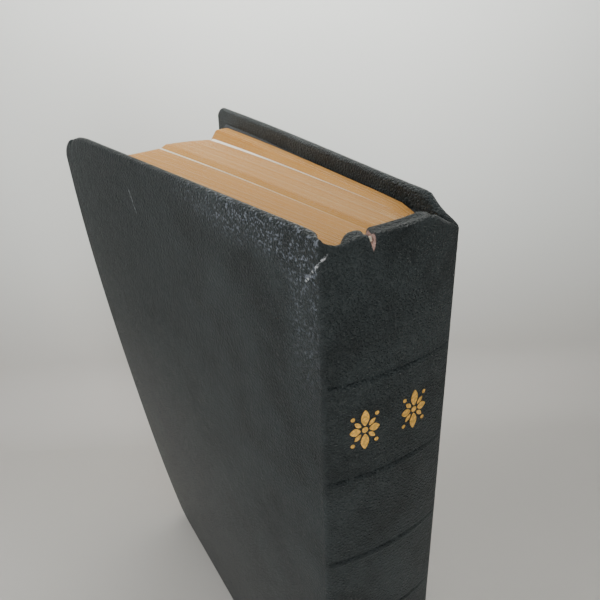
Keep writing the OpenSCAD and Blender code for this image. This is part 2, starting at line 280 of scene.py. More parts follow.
class LeatherWrap:
    """The leather round covers and spine, as closed loops at stations round the wrap."""

    # Drop of the head edge, in millimetres, at distances round the spine from its front corner
    HEAD_LINE = ((-3.2, 0), (0, 0.3), (1.2, 1.1), (3, 1.8), (5, 2.0), (6.5, 1.5), (8, 1.0),
                 (20, 0.75), (26, 0.6), (28, 1.2), (30, 2.4), (31.5, 3.3), (33, 4.2),
                 (34.6, 5.2), (35.4, 5.5), (36, 5.1), (37, 4.6), (38, 4.0), (40, 3.0),
                 (42, 2.0), (43, 1.2), (44, 0.3), (46, 0))
    # More drop, at distances from the front fore-edge
    FRONT_CORNER_DROP = ((0, 3.0), (4, 2.8), (9, 1.7), (13.5, 0.5), (18, 0))
    PLEAT_AT, PLEAT_DEPTH, PLEAT_W = 8.0 * MM, 0.8 * MM, 0.9 * MM
    # Rise of the tail edge, at distances round the spine
    TAIL_LINE = ((-3.2, 0), (1.5, 1.2), (34.5, 1.2), (39.2, 0))
    CAP_FROM, TAIL_CAP_FROM, CAP_TO, CAP_EASE = 5.2 * MM, 2.5 * MM, 31.5 * MM, 2.2 * MM
    ROLL_R, DISH = 1.2 * MM, 0.25 * MM
    BACK_CORNER_SHARE = 0.6
    TEAR_AT, TEAR_DEPTH, TEAR_W = 10.9 * MM, 1.9 * MM, 0.55 * MM
    # A tooled line's width, and the share, drop and width of the lip below it
    LINE_W, LIP_SHARE, LIP_DROP, LIP_W = 0.34 * MM, 0.45, 1.1 * MM, 0.4 * MM
    RECESS = 0.5 * MM
    END_ZONE = (0, 0.03, 0.08, 0.15, 0.24, 0.36, 0.52, 0.74)
    ROLL_STEPS = 5
    LINE_ROWS = (-1.9, -1.45, -1.1, -0.75, -0.4, -0.2, 0, 0.2, 0.45, 0.9)

    def __init__(self, binding, tooled_lines):
        self.binding = binding
        self.sizes = binding.sizes
        self.tooled_lines = tooled_lines
        self.rows = self._rows()

    def _rows(self):
        """Heights of the rows between the two end zones, close together at the tooled lines."""
        zone = self.sizes.turn_in_w
        rows = set(np.round(np.arange(zone, HEAD - zone + 1e-6, 3.2 * MM), 6))
        for line in self.tooled_lines:
            rows = {z for z in rows if abs(z - line) > 2.6 * MM}
            rows |= {round(line + step * MM, 6) for step in self.LINE_ROWS}
        return np.array(sorted(rows | {zone, HEAD - zone}))

    def corner_cut(self, u):
        """How far the rounded corner takes the head and tail in, near the fore-edge."""
        on_front = u < self.binding.girth / 2
        width = self.sizes.front_corner_w if on_front else self.sizes.back_corner_w
        height = self.sizes.corner_r * (1 if on_front else self.BACK_CORNER_SHARE)
        inside = max(1 - self.binding.from_fore_edge(u) / width, 0)
        return height * (1 - math.sqrt(1 - inside * inside))

    def head(self, u):
        """Height of the wrap's head edge."""
        g = self.binding.across(u) / MM
        drop = np.interp(g, *zip(*self.HEAD_LINE)) * MM
        drop += self.TEAR_DEPTH * float(bump(g * MM, self.TEAR_AT, self.TEAR_W))
        if u < PANEL:
            drop += np.interp(u / MM, *zip(*self.FRONT_CORNER_DROP)) * MM
            drop += self.PLEAT_DEPTH * float(bump(u, self.PLEAT_AT, self.PLEAT_W))
        return HEAD - drop - self.corner_cut(u)

    def tail(self, u):
        """Height of the wrap's tail edge."""
        g = self.binding.across(u) / MM
        return np.interp(g, *zip(*self.TAIL_LINE)) * MM + self.corner_cut(u)

    def wall(self, u):
        """Thickness of the wrap: a cover's, or the spine leather's."""
        g = self.binding.across(u)
        far = self.binding.spine_length
        on_spine = smooth(g, -4.5 * MM, -1 * MM) * (1 - smooth(g, far + 1 * MM, far + 4.5 * MM))
        return self.sizes.cover_t + (self.sizes.leather_t - self.sizes.cover_t) * float(on_spine)

    def cap(self, u, at_head):
        """Depth of the leather at the head or the tail, where it rolls over the cap's cord."""
        g = self.binding.across(u)
        start = self.CAP_FROM if at_head else self.TAIL_CAP_FROM
        rise = smooth(g, start - self.CAP_EASE, start + self.CAP_EASE)
        fall = 1 - smooth(g, self.CAP_TO - self.CAP_EASE, self.CAP_TO + self.CAP_EASE)
        torn = float(bump(g, self.TEAR_AT, 0.9 * MM)) if at_head else 0
        wall = self.wall(u)
        return wall + (self.sizes.cap_depth - wall) * float(rise * fall) * (1 - 0.35 * torn)

    def _end(self, edge, inward, depth, wall):
        """The loop's points round one end: over the outer edge, across, and under the cap."""
        r = min(depth / 2, self.ROLL_R)
        under = self.sizes.cap_h
        inner_r = min(r, under / 2)
        points = []
        for a in np.linspace(0, math.pi / 2, self.ROLL_STEPS + 1):
            points.append((r - r * math.cos(a), edge + inward * (r - r * math.sin(a))))
        for share in (0.33, 0.67):
            middle = r + (depth - 2 * r) * share
            dish = self.DISH * min((depth - 2 * r) / (2 * MM), 1)
            points.append((middle, edge + inward * dish))
        for a in np.linspace(0, math.pi / 2, self.ROLL_STEPS + 1):
            points.append((depth - r + r * math.sin(a), edge + inward * (r - r * math.cos(a))))
        for a in np.linspace(0, math.pi / 2, 3)[1:]:
            points.append((depth - inner_r * (1 - math.cos(a)) * (depth > wall + MM),
                           edge + inward * (under + r - inner_r + inner_r * math.sin(a))))
        points.append((wall, edge + inward * (under + r + 0.15 * MM)))
        return points

    def loop(self, u):
        """(depth, z) round one station: up the outside, over the head, down the inside."""
        head, tail, wall = self.head(u), self.tail(u), self.wall(u)
        over = self._end(head, -1, self.cap(u, True), wall)
        below = self._end(tail, 1, self.cap(u, False), wall)[::-1]
        low, high = self.rows[0], self.rows[-1]
        tail_from, head_from = below[-1][1], over[0][1]
        outer = [tail_from + (low - tail_from) * t for t in self.END_ZONE[1:]]
        outer += list(self.rows)
        outer += [head_from + (high - head_from) * t for t in self.END_ZONE[:0:-1]]
        tail_in, head_in = below[0][1], over[-1][1]
        inner = [head_in + (high - head_in) * t for t in self.END_ZONE[1:]]
        inner += list(self.rows[::-1])
        inner += [tail_in + (low - tail_in) * t for t in self.END_ZONE[:0:-1]]
        points = [(self.relief(u, z), z) for z in outer] + over
        points += [(wall - self.recess(u, z), z) for z in inner] + below
        depth, z = np.array(points).T
        edge = min(self.binding.from_fore_edge(u) / (wall / 2), 1)
        shrink = math.sqrt(max(1 - (1 - edge) ** 2, 0))
        return wall / 2 + (depth - wall / 2) * shrink, z

    def recess(self, u, z):
        """The step from the turn-in down to the board, where the infill lies."""
        zone = self.sizes.turn_in_w + 0.1 * MM
        inside = zone < z < HEAD - zone and self.binding.from_fore_edge(u) > zone
        on_cover = abs(u - self.binding.girth / 2) > self.binding.core_length / 2 + 0.5 * MM
        return self.RECESS if inside and on_cover else 0

    def relief(self, u, z):
        """How far the tooled lines press into the spine at one place."""
        g = self.binding.across(u)
        far = self.binding.spine_length
        strength = float(smooth(g, 0.2 * MM, 1.6 * MM) * (1 - smooth(g, far - 3 * MM, far)))
        if strength == 0:
            return 0
        depth = sum(float(bump(z, line, self.LINE_W))
                    - self.LIP_SHARE * float(bump(z, line - self.LIP_DROP, self.LIP_W))
                    for line in self.tooled_lines)
        fade = 1 - 0.6 * float(smooth(g, 21 * MM, 31 * MM))
        return self.sizes.line_depth * depth * strength * fade

    def stations(self, cuts):
        """Places round the wrap, close together at the edges, joints, corners and the tear."""
        b, r = self.binding, self.sizes.front_corner_w
        edge = [0, 0.05, 0.2, 0.45, 0.8, 1.2]
        edge += [r / MM * (1 - math.cos(a)) for a in np.linspace(0.30, math.pi / 2, 14)]
        edge = sorted(set(np.round(edge, 3)))
        pleat = [6.9, 7.3, 7.6, 7.9, 8.2, 8.5, 8.9, 9.4, 10, 11, 12.2]
        zone = self.sizes.turn_in_w / MM
        front = edge + pleat + [zone, zone + 0.4] + list(np.arange(16, 120, 3.4))
        joint = [120.5, 122, 123.5, 124.8, 126, 127, PANEL / MM]
        back = edge + joint + [zone, zone + 0.4] + list(np.arange(11, 120, 3.4))
        corner = PANEL + b.corner_at
        near = [-2.4, -1.8, -1.3, -0.9, -0.6, -0.3, 0, 0.3, 0.6, 0.9, 1.3, 1.8, 2.4, 3.2, 4.2]
        spine = near + list(np.arange(5, 31.5, 0.85))
        places = {round(origin + turn * x * MM, 6) for origin, turn, steps in (
            (0, 1, front + joint), (b.girth, -1, back), (corner, 1, spine),
            (b.girth - corner, -1, near), (corner + self.TEAR_AT, 1, np.arange(-2, 2.1, 0.2)))
            for x in steps}
        spaced = []
        for place in sorted(places):
            if not spaced or place - spaced[-1] > 0.04 * MM:
                spaced.append(place)
        keep = [p for p in spaced if all(abs(p - c) > 0.08 * MM for c in cuts)]
        return sorted(keep + list(cuts))

    def wear(self, u, z):
        """How rubbed the leather is: at its edges, the spine's corners and the head."""
        g = self.binding.across(u)
        far = self.binding.spine_length
        top, bottom = self.head(u) - z, z - self.tail(u)
        edges = np.exp(-np.abs(top) / (0.8 * MM)) + np.exp(-np.abs(bottom) / (0.8 * MM))
        on_spine = float(smooth(g, -4 * MM, 0) * (1 - smooth(g, far, far + 5 * MM)))
        corner = float(bump(g, -0.6 * MM, 0.8 * MM)) * (
            0.12 + 0.3 * np.exp(-((top - 7 * MM) / (8 * MM)) ** 2))
        back = float(bump(g, far + 1.5 * MM, 3 * MM)) * np.exp(-top / (2.5 * MM))
        return np.clip(edges * (0.10 + 0.12 * on_spine) + corner + 0.30 * back, 0, 1)

    def torn(self, u, z):
        """How much of the flesh side shows, about the tear."""
        g = self.binding.across(u)
        shown = float(bump(g, self.TEAR_AT + 0.2 * MM, self.TEAR_W))
        return shown * np.exp(-np.clip(self.head(u) - z, 0, 1) / (1.5 * MM))

    def piece(self, name, start, end, stations):
        """One cut of the wrap as a closed mesh, with its wear and tear as attributes."""
        mesh = bmesh.new()
        wear = mesh.verts.layers.float.new("wear")
        torn = mesh.verts.layers.float.new("torn")
        around = mesh.verts.layers.float.new("around")
        chosen = [u for u in stations if start - 1e-7 <= u <= end + 1e-7]
        loops = []
        for u in chosen:
            depth, z = self.loop(u)
            places = self.binding.wrap(u, z, depth)
            worn, ripped = self.wear(u, z), self.torn(u, z)
            loop = []
            for place, a, b in zip(places, worn, ripped):
                vert = mesh.verts.new(place)
                vert[wear], vert[torn], vert[around] = a, b, self.binding.across(u)
                loop.append(vert)
            loops.append(loop)
        count = len(loops[0])
        for this, after in zip(loops, loops[1:]):
            for k in range(count):
                n = (k + 1) % count
                mesh.faces.new((this[k], after[k], after[n], this[n])).smooth = True
        caps = []
        if start > 1e-7:
            caps.append(mesh.faces.new(loops[0]))
        if end < self.binding.girth - 1e-7:
            caps.append(mesh.faces.new(loops[-1][::-1]))
        for cap in caps:
            for edge in cap.edges:
                edge.smooth = False
        bmesh.ops.remove_doubles(mesh, verts=mesh.verts, dist=0.004 * MM)
        bmesh.ops.dissolve_degenerate(mesh, edges=mesh.edges, dist=0.001 * MM)
        return finish_mesh(mesh, name)


def finish_mesh(mesh, name):
    """Turns a bmesh into an object at the origin."""
    data = bpy.data.meshes.new(name)
    mesh.to_mesh(data)
    mesh.free()
    piece = bpy.data.objects.new(name, data)
    bpy.context.scene.collection.objects.link(piece)
    return piece


SHEET_TURNS, SHEET_COLUMNS, SHEET_ROWS = 9, 34, 44


def cover_sheet(wrap, name, side, s_span, z_span, depths, corner_r):
    """A closed sheet that lies in or against a cover, from one depth to another."""
    mesh, binding = bmesh.new(), wrap.binding
    s_low, s_high = s_span
    z_low, z_high = z_span
    turns = corner_r * (1 - np.cos(np.linspace(0, math.pi / 2, SHEET_TURNS)))
    straight = np.linspace(s_low, s_high - corner_r, SHEET_COLUMNS)[:-1]
    s_values = np.concatenate([straight, s_high - turns[::-1]])
    faces = []
    for depth in depths:
        grid = []
        for s in s_values:
            inside = max(s - (s_high - corner_r), 0)
            cut = corner_r - math.sqrt(max(corner_r ** 2 - inside ** 2, 0))
            u = PANEL - s if side == FRONT else PANEL + binding.core_length + s
            top = min(z_high - cut, wrap.head(u) - MM)
            z = np.linspace(z_low + cut, top, SHEET_ROWS)
            places = binding.cover(side, np.full_like(z, s), z, np.full_like(z, depth))
            grid.append([mesh.verts.new(p) for p in places])
        faces.append(grid)
    outer, inner = faces
    turn = -1 if side == FRONT else 1
    def face(*corners):
        mesh.faces.new(corners[::turn]).smooth = True
    rows, columns = len(s_values), len(outer[0])
    for i in range(rows - 1):
        for k in range(columns - 1):
            face(outer[i][k], outer[i + 1][k], outer[i + 1][k + 1], outer[i][k + 1])
            face(inner[i][k], inner[i][k + 1], inner[i + 1][k + 1], inner[i + 1][k])
        face(outer[i][0], inner[i][0], inner[i + 1][0], outer[i + 1][0])
        face(outer[i][-1], outer[i + 1][-1], inner[i + 1][-1], inner[i][-1])
    for k in range(columns - 1):
        face(outer[0][k], outer[0][k + 1], inner[0][k + 1], inner[0][k])
        face(outer[-1][k], inner[-1][k], inner[-1][k + 1], outer[-1][k + 1])
    for edge in mesh.edges:
        if len(edge.link_faces) == 2 and edge.calc_face_angle(0) > 1:
            edge.smooth = False
    return finish_mesh(mesh, name)


class Wire:
    """A socket of a node tree. Arithmetic on it adds Math nodes."""

    def __init__(self, nodes, socket):
        self.nodes, self.socket = nodes, socket

    def maths(self, operation, *others):
        return self.nodes.maths(operation, self, *others)

    def other(self, output):
        """Another output of the same node."""
        return Wire(self.nodes, self.socket.node.outputs[output])

    def __add__(self, other):
        return self.maths("ADD", other)

    def __sub__(self, other):
        return self.maths("SUBTRACT", other)

    def __mul__(self, other):
        return self.maths("MULTIPLY", other)

    def __truediv__(self, other):
        return self.maths("DIVIDE", other)

    def __radd__(self, other):
        return self.nodes.maths("ADD", other, self)

    def __rsub__(self, other):
        return self.nodes.maths("SUBTRACT", other, self)

    def __rmul__(self, other):
        return self.nodes.maths("MULTIPLY", other, self)

    def __rtruediv__(self, other):
        return self.nodes.maths("DIVIDE", other, self)

    def fit(self, low, high):
        """A smooth, clamped rise from 0 at low to 1 at high."""
        return self.nodes.node("ShaderNodeMapRange", {"interpolation_type": "SMOOTHSTEP"},
                               {0: self, 1: low, 2: high})


class Nodes:
    """A node tree, and one method that adds any node to it."""

    def __init__(self, tree):
        self.tree = tree
        tree.nodes.clear()

    def node(self, kind, settings=None, inputs=None, output=0):
        node = self.tree.nodes.new(kind)
        for key, value in (settings or {}).items():
            setattr(node, key, value)
        for key, value in (inputs or {}).items():
            if isinstance(value, Wire):
                self.tree.links.new(value.socket, node.inputs[key])
            else:
                node.inputs[key].default_value = value
        return Wire(self, node.outputs[output]) if node.outputs else None

    def maths(self, operation, *values):
        return self.node("ShaderNodeMath", {"operation": operation}, dict(enumerate(values)))


class Shade(Nodes):
    """A material's node tree, with the textures and mixes that the finishes share."""

    def __init__(self, name):
        self.material = bpy.data.materials.new(name)
        self.material.use_nodes = True
        super().__init__(self.material.node_tree)

    def place(self, scale=(1, 1, 1)):
        """Object coordinates in metres, stretched by scale."""
        wire = self.node("ShaderNodeTexCoord", output="Object")
        return self.node("ShaderNodeMapping", inputs={"Vector": wire, "Scale": scale})

    def noise(self, vector, scale, detail=3.0, rough=0.5):
        return self.node("ShaderNodeTexNoise", inputs={
            "Vector": vector, "Scale": scale, "Detail": detail, "Roughness": rough})

    def cells(self, vector, scale):
        return self.node("ShaderNodeTexVoronoi", {"feature": "DISTANCE_TO_EDGE"},
                         {"Vector": vector, "Scale": scale})

    def axis(self, name):
        """One of the object coordinates, in metres."""
        return self.node("ShaderNodeSeparateXYZ", inputs={0: self.place()}, output=name)

    def mix(self, share, first, second):
        """Two colours mixed by a share."""
        def colour(value):
            return value if isinstance(value, Wire) else (*value, 1)
        return self.node("ShaderNodeMix", {"data_type": "RGBA"},
                         {0: share, 6: colour(first), 7: colour(second)}, output=2)

    def attribute(self, name):
        return self.node("ShaderNodeAttribute", {"attribute_name": name}, output="Fac")

    def bump(self, height, distance, strength=1.0):
        return self.node("ShaderNodeBump", inputs={
            "Height": height, "Distance": distance, "Strength": strength})

    def finish(self, clear_from_behind=False, **sockets):
        """Sets the shader's sockets, and returns the material."""
        names = {key.replace("_", " "): value for key, value in sockets.items()}
        shader = self.node("ShaderNodeBsdfPrincipled", inputs=names)
        if clear_from_behind:
            behind = self.node("ShaderNodeNewGeometry", output="Backfacing")
            clear = self.node("ShaderNodeBsdfTransparent")
            shader = self.node("ShaderNodeMixShader", inputs={0: behind, 1: shader, 2: clear})
        self.node("ShaderNodeOutputMaterial", inputs={"Surface": shader})
        return self.material


def scratch(around, drop, start, end, width):
    """A soft mark from start to end, given as (distance round the spine, drop from the head)."""
    run, fall = end[0] - start[0], end[1] - start[1]
    length = math.hypot(run, fall)
    along = ((around - start[0]) * run + (drop - start[1]) * fall) / length
    aside = ((around - start[0]) * fall - (drop - start[1]) * run) / length
    ends = along.fit(-0.8 * MM, 1 * MM) * along.fit(length + 0.8 * MM, length - 1 * MM)
    return (aside * aside).fit(width ** 2, 0) * ends


def leather_finish(colours):
    """Pebbled goatskin, rubbed pale at its edges, with the flesh side showing in the tear; painted
    glints, a painted floor reflection and painted shade lie on the front cover.
    """
    shade = Shade("pebbled_leather")
    place = shade.place()
    drift = shade.noise(place, 260.0, 2.0).other("Color")
    moved = shade.node("ShaderNodeVectorMath", {"operation": "MULTIPLY_ADD"},
                       {0: drift, 1: (0.0016, 0.0016, 0.0016), 2: place})
    pebble = shade.cells(moved, 1050.0).fit(0.0, 0.34)
    fine = shade.cells(moved, 2300.0).fit(0.0, 0.40)
    pores = shade.noise(place, 5200.0, 2.0)
    hide = shade.noise(place, 60.0, 4.0, 0.6)
    creases = shade.noise(moved, 210.0, 5.0, 0.62)
    height = pebble * 0.85 + fine * 0.25 + pores * 0.14 + creases * 0.9 + hide * 0.9
    wear = shade.attribute("wear")
    patches = shade.noise(place, 420.0, 4.0, 0.65)
    rubbed = (wear * (patches * 1.7) * (pebble * 0.6 + 0.4)).fit(0.28, 0.85)
    specks = shade.noise(place, 900.0, 3.0, 0.7).fit(0.70, 0.80) * pebble
    tone = shade.mix(hide.fit(0.3, 0.7), [c * 0.72 for c in colours.leather],
                     [c * 1.35 for c in colours.leather])
    tone = shade.mix(specks * 0.10, tone, colours.leather_worn)
    tone = shade.mix(rubbed * 0.75, tone, colours.leather_worn)
    around = shade.attribute("around")
    drop = HEAD - shade.axis("Z")
    cover = around.fit(0.2 * MM, -1 * MM)
    # Painted highlight: where bluish glints are painted on the grain, in a band below the head and
    # along the joint of the front cover.
    band = drop.fit(13 * MM, 3 * MM) * around.fit(-72 * MM, -22 * MM) * cover
    joint = around.fit(-16 * MM, -5 * MM) * cover * drop.fit(60 * MM, 6 * MM)
    painted_glint_area = (band + joint * 0.7).fit(0, 1) * patches.fit(0.30, 0.60)
    # Painted reflection: the front cover is painted lighter towards its tail, standing in for the
    # floor's reflection.
    painted_floor_sheen = drop.fit(50 * MM, 165 * MM) * around.fit(-1 * MM, -8 * MM)
    tone = shade.mix(painted_floor_sheen * 0.60, tone, (0.048, 0.050, 0.049))
    shaded = around.fit(-35 * MM, -95 * MM) * drop.fit(110 * MM, 25 * MM)
    tone = shade.mix(shaded * 0.75, tone, (0.004, 0.008, 0.009))
    # Painted highlight: the glints are painted in pale blue over the leather's colour.
    glints = shade.noise(place, 1500.0, 2.0, 0.6).fit(0.50, 0.66) * painted_glint_area
    tone = shade.mix(glints * 0.85, tone, (0.20, 0.225, 0.27))
    chips = shade.noise(place, 1100.0, 3.0, 0.7)
    scuff = scratch(around, drop, (1.4 * MM, 3.2 * MM), (-4.9 * MM, 10.4 * MM), 0.42 * MM)
    scrape = scratch(around, drop, (-83.6 * MM, 9.1 * MM), (-80.9 * MM, 16.7 * MM), 0.30 * MM)
    marks = (scuff * 1.3 + scrape * 0.7) * chips.fit(0.42, 0.62)
    tone = shade.mix(marks.fit(0.1, 0.9), tone, (0.48, 0.50, 0.52))
    torn = shade.attribute("torn")
    flesh = (torn * (patches + 0.55)).fit(0.30, 0.48)
    tone = shade.mix(flesh, tone, colours.leather_torn)
    rough = 0.38 - pebble * 0.06 + patches * 0.14 + rubbed * 0.2 + flesh * 0.3 - glints * 0.16
    return shade.finish(Base_Color=tone, Roughness=rough, Normal=shade.bump(height, 0.00042, 0.95),
                        Specular_IOR_Level=0.17)


def leaf_edge_finish(colours):
    """Faded gilt on the edges of thin leaves, with a line for each leaf."""
    shade = Shade("faded_gilt_edge")
    sheet = shade.attribute("sheet")
    place = shade.place((18, 60, 60))
    lines, packs = (
        shade.node("ShaderNodeTexNoise", {"noise_dimensions": "1D"},
                   {"W": sheet, "Scale": scale, "Detail": detail, "Roughness": rough})
        for scale, detail, rough in ((3.4, 3.0, 0.75), (0.16, 2.0, 0.5)))
    blot = shade.noise(place, 1.0, 4.0, 0.6)
    tone = shade.mix(lines.fit(0.32, 0.70), [c * 0.96 for c in colours.leaf_edge],
                     [min(c * 1.05, 1) for c in colours.leaf_edge])
    tone = shade.mix(packs.fit(0.35, 0.65) * 0.45, tone, (0.42, 0.235, 0.070))
    tone = shade.mix(blot.fit(0.45, 0.75) * 0.30, tone, (0.45, 0.26, 0.095))
    rough = 0.48 + lines * 0.18
    return shade.finish(Base_Color=tone, Roughness=rough, Specular_IOR_Level=0.12,
                        Normal=shade.bump(lines, 0.00003, 0.5))


def paper_finish(colours):
    """Thin, slightly uneven paper on the faces of the leaves."""
    shade = Shade("leaf_paper")
    fibres = shade.noise(shade.place((1, 1, 2.2)), 900.0, 4.0, 0.6)
    cloud = shade.noise(shade.place(), 55.0, 3.0)
    tone = shade.mix(cloud.fit(0.3, 0.7) * 0.6, colours.paper, [c * 0.92 for c in colours.paper])
    return shade.finish(Base_Color=tone, Roughness=0.72 + fibres * 0.15,
                        Normal=shade.bump(fibres, 0.00006, 0.5))


def endpaper_finish(colours):
    """Black endpaper with a faint laid grain."""
    shade = Shade("black_endpaper")
    fibres = shade.noise(shade.place((1, 1, 6)), 700.0, 4.0, 0.6)
    tone = shade.mix(fibres.fit(0.3, 0.7), colours.endpaper, [c * 1.8 for c in colours.endpaper])
    return shade.finish(Base_Color=tone, Roughness=0.62 + fibres * 0.15,
                        Normal=shade.bump(fibres, 0.00008, 0.5))


def gilt_finish(colours):
    """Hot-stamped foil, slightly worn where the grain stands up."""
    shade = Shade("stamped_gilt")
    place = shade.place()
    grain = shade.cells(place, 1500.0).fit(0.0, 0.4)
    worn = shade.noise(place, 1400.0, 4.0, 0.7).fit(0.42, 0.60)
    tone = shade.mix(worn, [c * 0.62 for c in colours.gilt], colours.gilt)
    return shade.finish(Base_Color=tone, Roughness=0.42 - worn * 0.12, Metallic=0.55,
                        Normal=shade.bump(grain, 0.00006, 0.6))


def fibre_finish(name, colour, stretch, scale, depth):
    """Card, lining paper or twisted thread: fibres that run one way."""
    shade = Shade(name)
    fibres = shade.noise(shade.place(stretch), scale, 5.0, 0.65)
    tone = shade.mix(fibres.fit(0.3, 0.7), [c * 0.72 for c in colour],
                     [min(c * 1.15, 1) for c in colour])
    return shade.finish(Base_Color=tone, Roughness=0.75 + fibres * 0.15,
                        Normal=shade.bump(fibres, depth, 0.8))


def weave_finish(name, colour, pitch, gap):
    """Plain-woven cloth: threads up the spine and across it, with gaps of a given share."""
    shade = Shade(name)
    y, z = shade.axis("Y"), shade.axis("Z")
    turn = math.pi / pitch
    across, up = (y * turn).maths("SINE"), (z * turn).maths("SINE")
    threads = (across * across).maths("MAXIMUM", up * up)
    fuzz = shade.noise(shade.place(), 3000.0, 3.0)
    height = threads * 0.8 + fuzz * 0.3
    shown = height.fit(gap, gap + 0.3)
    # Painted shade: the gaps between the threads are painted darker.
    tone = shade.mix(shown, [c * 0.35 for c in colour], colour)
    return shade.finish(Base_Color=tone, Roughness=0.85, Normal=shade.bump(height, 0.00015, 0.9))


def plain_finish(name, low_colour, high_colour, grain_scale, clear_from_behind=False):
    """A pale matte surface whose colour changes with its height."""
    shade = Shade(name)
    cloud = shade.noise(shade.place(), grain_scale, 3.0)
    colour = shade.mix(shade.axis("Z").fit(0, 0.13), low_colour, high_colour)
    tone = shade.mix(cloud.fit(0.3, 0.7) * 0.1, colour, [c * 0.7 for c in low_colour])
    return shade.finish(clear_from_behind, Base_Color=tone, Roughness=0.7)


def give(piece, *materials):
    """Sets a piece's material slots."""
    piece.data.materials.clear()
    for material in materials:
        piece.data.materials.append(material)


def binding_of(context):
    return Binding(context.scene.bible_sizes)


class BIBLE_OT_leather(bpy.types.Operator):
    """Wraps the covers and the spine in leather"""
    bl_idname = "bible.leather"
    bl_label = "Leather"

    FRONT_CUT, MIDDLE_CUT, BACK_CUT = -14.4 * MM, 5.5 * MM, 14.2 * MM
    # Spacing of the tooled lines, as a share of the drop from the head to the first of them
    TOOLED_LINES, LINE_PITCH_SHARE = 5, 26.7 / 33.4

    def execute(self, context):
        binding = binding_of(context)
        first = HEAD - (FIRST_ORNAMENT[0].z + FIRST_ORNAMENT[1].z) / 2
        pitch = first / (1 / self.LINE_PITCH_SHARE + 0.5)
        start = first - pitch / 2
        lines = [HEAD - start - pitch * i for i in range(self.TOOLED_LINES)]
        wrap = LeatherWrap(binding, lines)
        cuts = [binding.u_at_spine(y) for y in (self.FRONT_CUT, self.MIDDLE_CUT, self.BACK_CUT)]
        stations = wrap.stations(cuts)
        ends = [0, *cuts, binding.girth]
        leather = leather_finish(context.scene.bible_colours)
        pieces = []
        for name, low, high in zip(("front_cover_skin", "front_spine_skin", "back_spine_skin",
                                    "back_cover_skin"), ends, ends[1:]):
            piece = wrap.piece(name, low, high, stations)
            give(piece, leather)
            pieces.append(piece)
        front_cover, front_spine, back_spine, back_cover = pieces
        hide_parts("front_cover_leather")
        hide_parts("front_spine_leather")
        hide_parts("middle_spine_leather")
        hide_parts("back_cover_leather", "back_spine_leather")
        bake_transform(front_cover)
        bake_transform(front_spine)
        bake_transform(back_spine)
        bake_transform(back_cover)
        return {"FINISHED"}


class BIBLE_OT_linings(bpy.types.Operator):
    """Lays the boards, infills, pastedowns and free endpapers in the curved covers"""
    bl_idname = "bible.linings"
    bl_label = "Boards and endpapers"

    def execute(self, context):
        wrap, sizes = LeatherWrap(binding_of(context), []), context.scene.bible_sizes
        card = fibre_finish("pulp_card", (0.34, 0.29, 0.22), (1, 1, 1), 600.0, 0.0001)
        black = endpaper_finish(context.scene.bible_colours)
        leather_t, cover_t = sizes.leather_t, sizes.cover_t
        board_t = 0.95 * MM
        turn_in, margin = sizes.turn_in_w, 5 * MM
        inset = leather_t + 0.1 * MM
        clear, root = FLYLEAF_CLEAR, 3.5 * MM
        for side, name in ((FRONT, "front"), (BACK, "back")):
            body = name + "_cover"
            layers = (
                ("board", "card", card, body, (inset, PANEL - inset), (inset, HEAD - inset),
                 (leather_t + 0.03 * MM, leather_t + board_t), sizes.corner_r - inset),
                ("infill", "card", card, body, (inset, PANEL - turn_in - 0.5 * MM),
                 (turn_in + 0.5 * MM, HEAD - turn_in - 0.5 * MM),
                 (cover_t - 0.48 * MM, cover_t - 0.02 * MM), 1 * MM),
                ("pastedown", "endpaper", black, body, (0, PANEL - margin),
                 (margin, HEAD - margin), (cover_t, cover_t + sizes.endpaper_t),
                 sizes.corner_r / 2),
                ("flyleaf", "endpaper", black, name + "_flyleaf", (root, LEAF_W - 4 * MM),
                 (LEAF_TAIL, LEAF_HEAD - 1.5 * MM),
                 (cover_t + sizes.endpaper_t + clear, cover_t + 2 * sizes.endpaper_t + clear),
                 6 * MM))
            for layer, slot, material, rides, s_span, z_span, depths, corner_r in layers:
                node = name + "_" + layer
                piece = cover_sheet(wrap, node + "_sheet", side, s_span, z_span, depths, corner_r)
                give(piece, material)
                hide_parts(node)
                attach(piece, rides)
        return {"FINISHED"}


